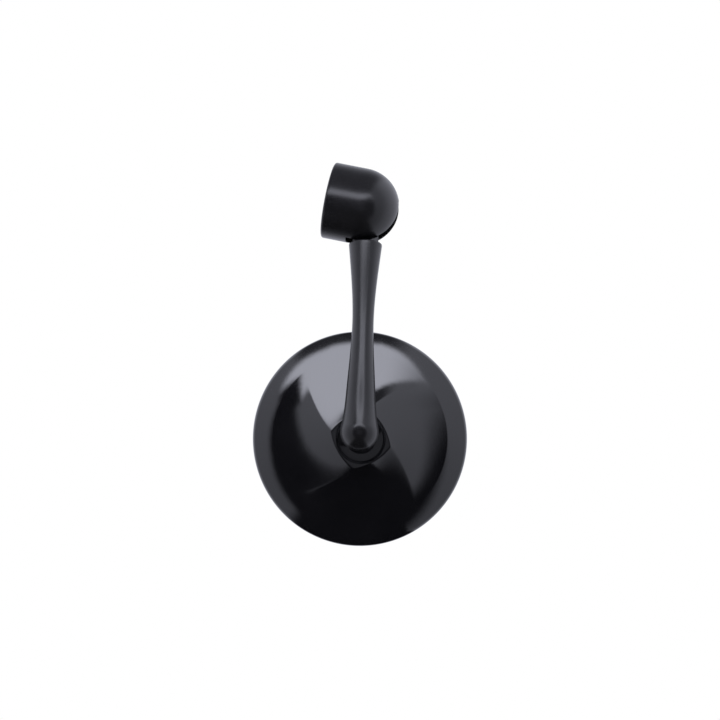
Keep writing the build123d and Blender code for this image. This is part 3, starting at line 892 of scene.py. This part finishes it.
# Camera: a little below and left of the head's axis, at a distance that gives the photograph's perspective.
# The head's width and middle are in pixels, the rim's depth in millimetres and the distance in metres.
CAMERA_DISTANCE = 0.65
CAMERA_BELOW = np.radians(2.0)
CAMERA_LEFT = np.radians(1.2)
SENSOR_MM = 36.0
RIM_DEPTH = 6.5
HEAD_PIXELS = 214.4
HEAD_PIXEL = (360.1, 438.5)
CENTRE_PIXEL = 360.0
PIXEL = 2 * SHELL_R / HEAD_PIXELS
to_camera = head_axis - head_up * np.tan(CAMERA_BELOW) - head_right * np.tan(CAMERA_LEFT)
view = Place(HEAD.put((0, 0, -RIM_DEPTH)), head_right, to_camera)
view_right, view_up, to_camera = view.axes
aim = view.put(((CENTRE_PIXEL - HEAD_PIXEL[0]) * PIXEL, (HEAD_PIXEL[1] - CENTRE_PIXEL) * PIXEL, 0))


def look_at_aim(thing, across, way, distance):
    """Stands a camera or lamp at a distance along a way from the aim, its own x axis across."""
    turn = Matrix(Place(aim, across, way).axes.T.tolist()).to_4x4()
    thing.matrix_world = Matrix.Translation(Vector(aim + way * distance)) @ turn


camera_data = bpy.data.cameras.new("camera")
camera_data.sensor_width = SENSOR_MM
camera_data.lens = SENSOR_MM * CAMERA_DISTANCE / (2 * CENTRE_PIXEL * PIXEL * MM)
camera = new_object("camera", camera_data)
look_at_aim(camera, view_right, to_camera, CAMERA_DISTANCE)
scene.camera = camera


def direction(azimuth, polar):
    """Directions from the head: polar degrees off the view's axis, at an azimuth counted in the picture."""
    a = np.radians(azimuth)[..., None]
    p = np.radians(polar)[..., None]
    return to_camera * np.cos(p) + (view_right * np.cos(a) + view_up * np.sin(a)) * np.sin(p)


def rising(value, edge, width):
    """0 below an edge, 1 above it, with a smooth change over a width centred on the edge."""
    share = np.clip((value - edge) / width + 0.5, 0, 1)
    return share * share * (3 - 2 * share)


def between(value, first, last):
    """1 from a first edge to a last one and 0 outside, each given as a pair of edge and width."""
    return rising(value, *first) * (1 - rising(value, *last))


def mixed(start, end, share):
    """A value on the way from start to end, by a share from 0 to 1."""
    return start + (end - start) * share


# Light tent, seen only in reflections: radii in metres, and how brightly each part of it glows
TENT_CODE = "eff1ff"
TENT_R = 0.65
TENT_TOP_R = 0.25
SIDE_GLOW = 0.67
FAR_SIDE_GLOW = 1.15
SIDE_RISE = 0.3
TOP_GLOW = 0.16
REAR_GLOW = 1.0
SOFTBOX_GLOW = 4.5
LENS_GLOW = 0.2
DARK_GLOW = 0.006

# Its parts in degrees. Azimuths run round the view's axis from the right, and polar angles away from it.
# A pair is an edge and the width of its change, and the two outlines give a polar angle at each azimuth.
OPENING_AZIMUTH = (-60, -30, 0, 20, 45, 75, 105, 130, 155, 190, 220, 300)
OPENING_POLAR = (47.5, 44.0, 41.9, 40.8, 44.4, 50.8, 50.0, 45.2, 40.4, 40.4, 41.6, 47.5)
OPENING_WIDTH = 3
OPENING_RIGHT_WIDTH = 6
OPENING_RIGHT = (35, 30)
SOFTBOX_AZIMUTH = (25, 60, 105, 122, 130, 138, 148, 160)
SOFTBOX_POLAR = (39.0, 38.6, 37.4, 38.2, 40.2, 41.2, 42.5, 47.0)
SOFTBOX_WIDTH = 3
SOFTBOX_RIGHT = (46, 52)
SOFTBOX_LEFT = (155, 10)
LENS = (11, 14)
FAR_SIDE = (78, 36)
TOP_RIGHT = (64, 16)
TOP_LEFT = (125, 12)
BELOW_AZIMUTH = 271
BELOW = (40, 10)
REAR_EDGE = 125
REAR_TOP_EDGE = 111
REAR_WIDTH = 50
NEAR_RIGHT = (60, 40)
NEAR_LEFT = (125, 40)
NEAR_POLAR = (25, 30)
FIRST_AZIMUTH = OPENING_AZIMUTH[0]


def tent_glow(azimuth, polar):
    """Brightness of the tent: grey cloth round an opening for the lens, with a softbox in the opening's top.

    The sides brighten upwards and away from the opening, and the top is dim. The cloth is dark below the
    part, and so is the room that the opening shows round the lens. Behind the part is the white backdrop.
    The opening's edge is softer on the right."""
    side = mixed(SIDE_GLOW, FAR_SIDE_GLOW, rising(polar, *FAR_SIDE))
    side = side * (1 + SIDE_RISE * np.sin(np.radians(azimuth)))
    top = between(azimuth, TOP_RIGHT, TOP_LEFT)
    cloth = mixed(side, TOP_GLOW, top)
    cloth = mixed(cloth, DARK_GLOW, 1 - rising(np.abs(azimuth - BELOW_AZIMUTH), *BELOW))
    cloth = mixed(cloth, REAR_GLOW, rising(polar, mixed(REAR_EDGE, REAR_TOP_EDGE, top), REAR_WIDTH))
    softbox_edge = np.interp(azimuth, SOFTBOX_AZIMUTH, SOFTBOX_POLAR)
    lit = between(azimuth, SOFTBOX_RIGHT, SOFTBOX_LEFT) * rising(polar, softbox_edge, SOFTBOX_WIDTH)
    room = mixed(DARK_GLOW, LENS_GLOW, 1 - rising(polar, *LENS))
    room = mixed(room, SOFTBOX_GLOW, lit)
    opening_edge = np.interp(azimuth, OPENING_AZIMUTH, OPENING_POLAR)
    width = mixed(OPENING_RIGHT_WIDTH, OPENING_WIDTH, rising(azimuth, *OPENING_RIGHT))
    return mixed(room, cloth, rising(polar, opening_edge, width))


def light_tent():
    """A sphere of cloth about the head, drawn in overhead, its brightness kept as a point attribute."""
    round_view = np.linspace(FIRST_AZIMUTH, FIRST_AZIMUTH + 360, TENT_POINTS)[:-1]
    azimuth, polar = np.meshgrid(round_view, np.linspace(0, 180, TENT_POINTS))
    near = between(azimuth, NEAR_RIGHT, NEAR_LEFT) * rising(polar, *NEAR_POLAR)
    reach = mixed(TENT_R, TENT_TOP_R, near)
    tent = mesh_object("light_tent", view.origin + direction(azimuth, polar) * reach[..., None])
    way = vertices(tent) - view.origin
    way = way / np.linalg.norm(way, axis=1, keepdims=True)
    azimuth = np.degrees(np.arctan2(way @ view_up, way @ view_right))
    azimuth = np.where(azimuth < FIRST_AZIMUTH, azimuth + 360, azimuth)
    polar = np.degrees(np.arccos(np.clip(way @ to_camera, -1, 1)))
    mark(tent, "glow", tent_glow(azimuth, polar))
    made, tree, shader, _ = material("tent_cloth")
    glow = node(tree, "ShaderNodeAttribute", {"attribute_name": "glow"})
    light = node(tree, "ShaderNodeEmission", {"Color": linear(TENT_CODE)}, Strength=glow.outputs["Fac"])
    tree.links.new(light.outputs[0], tree.nodes["Material Output"].inputs["Surface"])
    tree.nodes.remove(shader)
    made.cycles.emission_sampling = "NONE"
    dress(tent, made)
    tent.visible_camera = False
    tent.visible_diffuse = False
    tent.visible_shadow = False
    tent.visible_transmission = False


light_tent()

# Lamp for the matt surfaces, above and in front: reflections show the tent instead
LAMP_AZIMUTH = 95
LAMP_POLAR = 55
LAMP_DISTANCE = 0.60
LAMP_WIDTH = 0.66
LAMP_HEIGHT = 0.90
LAMP_POWER = 12.0
lamp_data = bpy.data.lights.new("top_softbox", "AREA")
lamp_data.shape = "RECTANGLE"
lamp_data.size = LAMP_WIDTH
lamp_data.size_y = LAMP_HEIGHT
lamp_data.energy = LAMP_POWER
lamp = new_object("top_softbox", lamp_data)
look_at_aim(lamp, direction(LAMP_AZIMUTH + 90, 90), direction(LAMP_AZIMUTH, LAMP_POLAR), LAMP_DISTANCE)
lamp.visible_glossy = False

# Floor, below the picture
FLOOR_DROP = 0.36
FLOOR_R = 0.4
floor_place = Place((0, 0, -FLOOR_DROP), BAR, UP)
floor = turned("floor", floor_place, [(reach, 0) for reach in np.linspace(0, FLOOR_R / MM, FLOOR_POINTS)])
dress(floor, pale_floor())
floor.visible_glossy = False

# White surroundings for what the camera, mirrors and glass see, and a softer fill for the rest
SURROUND_CODE = "ffffff"
SURROUND_GLOW = 1.0
FILL_GLOW = 0.5
world = bpy.data.worlds.new("studio")
scene.world = world
world.use_nodes = True
tree = world.node_tree
rays = node(tree, "ShaderNodeLightPath").outputs
seen = rays["Is Camera Ray"]
for ray in ("Is Glossy Ray", "Is Transmission Ray"):
    either = node(tree, "ShaderNodeMath", {"operation": "MAXIMUM"})
    tree.links.new(seen, either.inputs[0])
    tree.links.new(rays[ray], either.inputs[1])
    seen = either.outputs[0]
strength = node(tree, "ShaderNodeMapRange", {"To Min": FILL_GLOW, "To Max": SURROUND_GLOW}, Value=seen)
background = tree.nodes["Background"]
background.inputs["Color"].default_value = linear(SURROUND_CODE)
tree.links.new(strength.outputs["Result"], background.inputs["Strength"])

scene.view_settings.view_transform = "Standard"
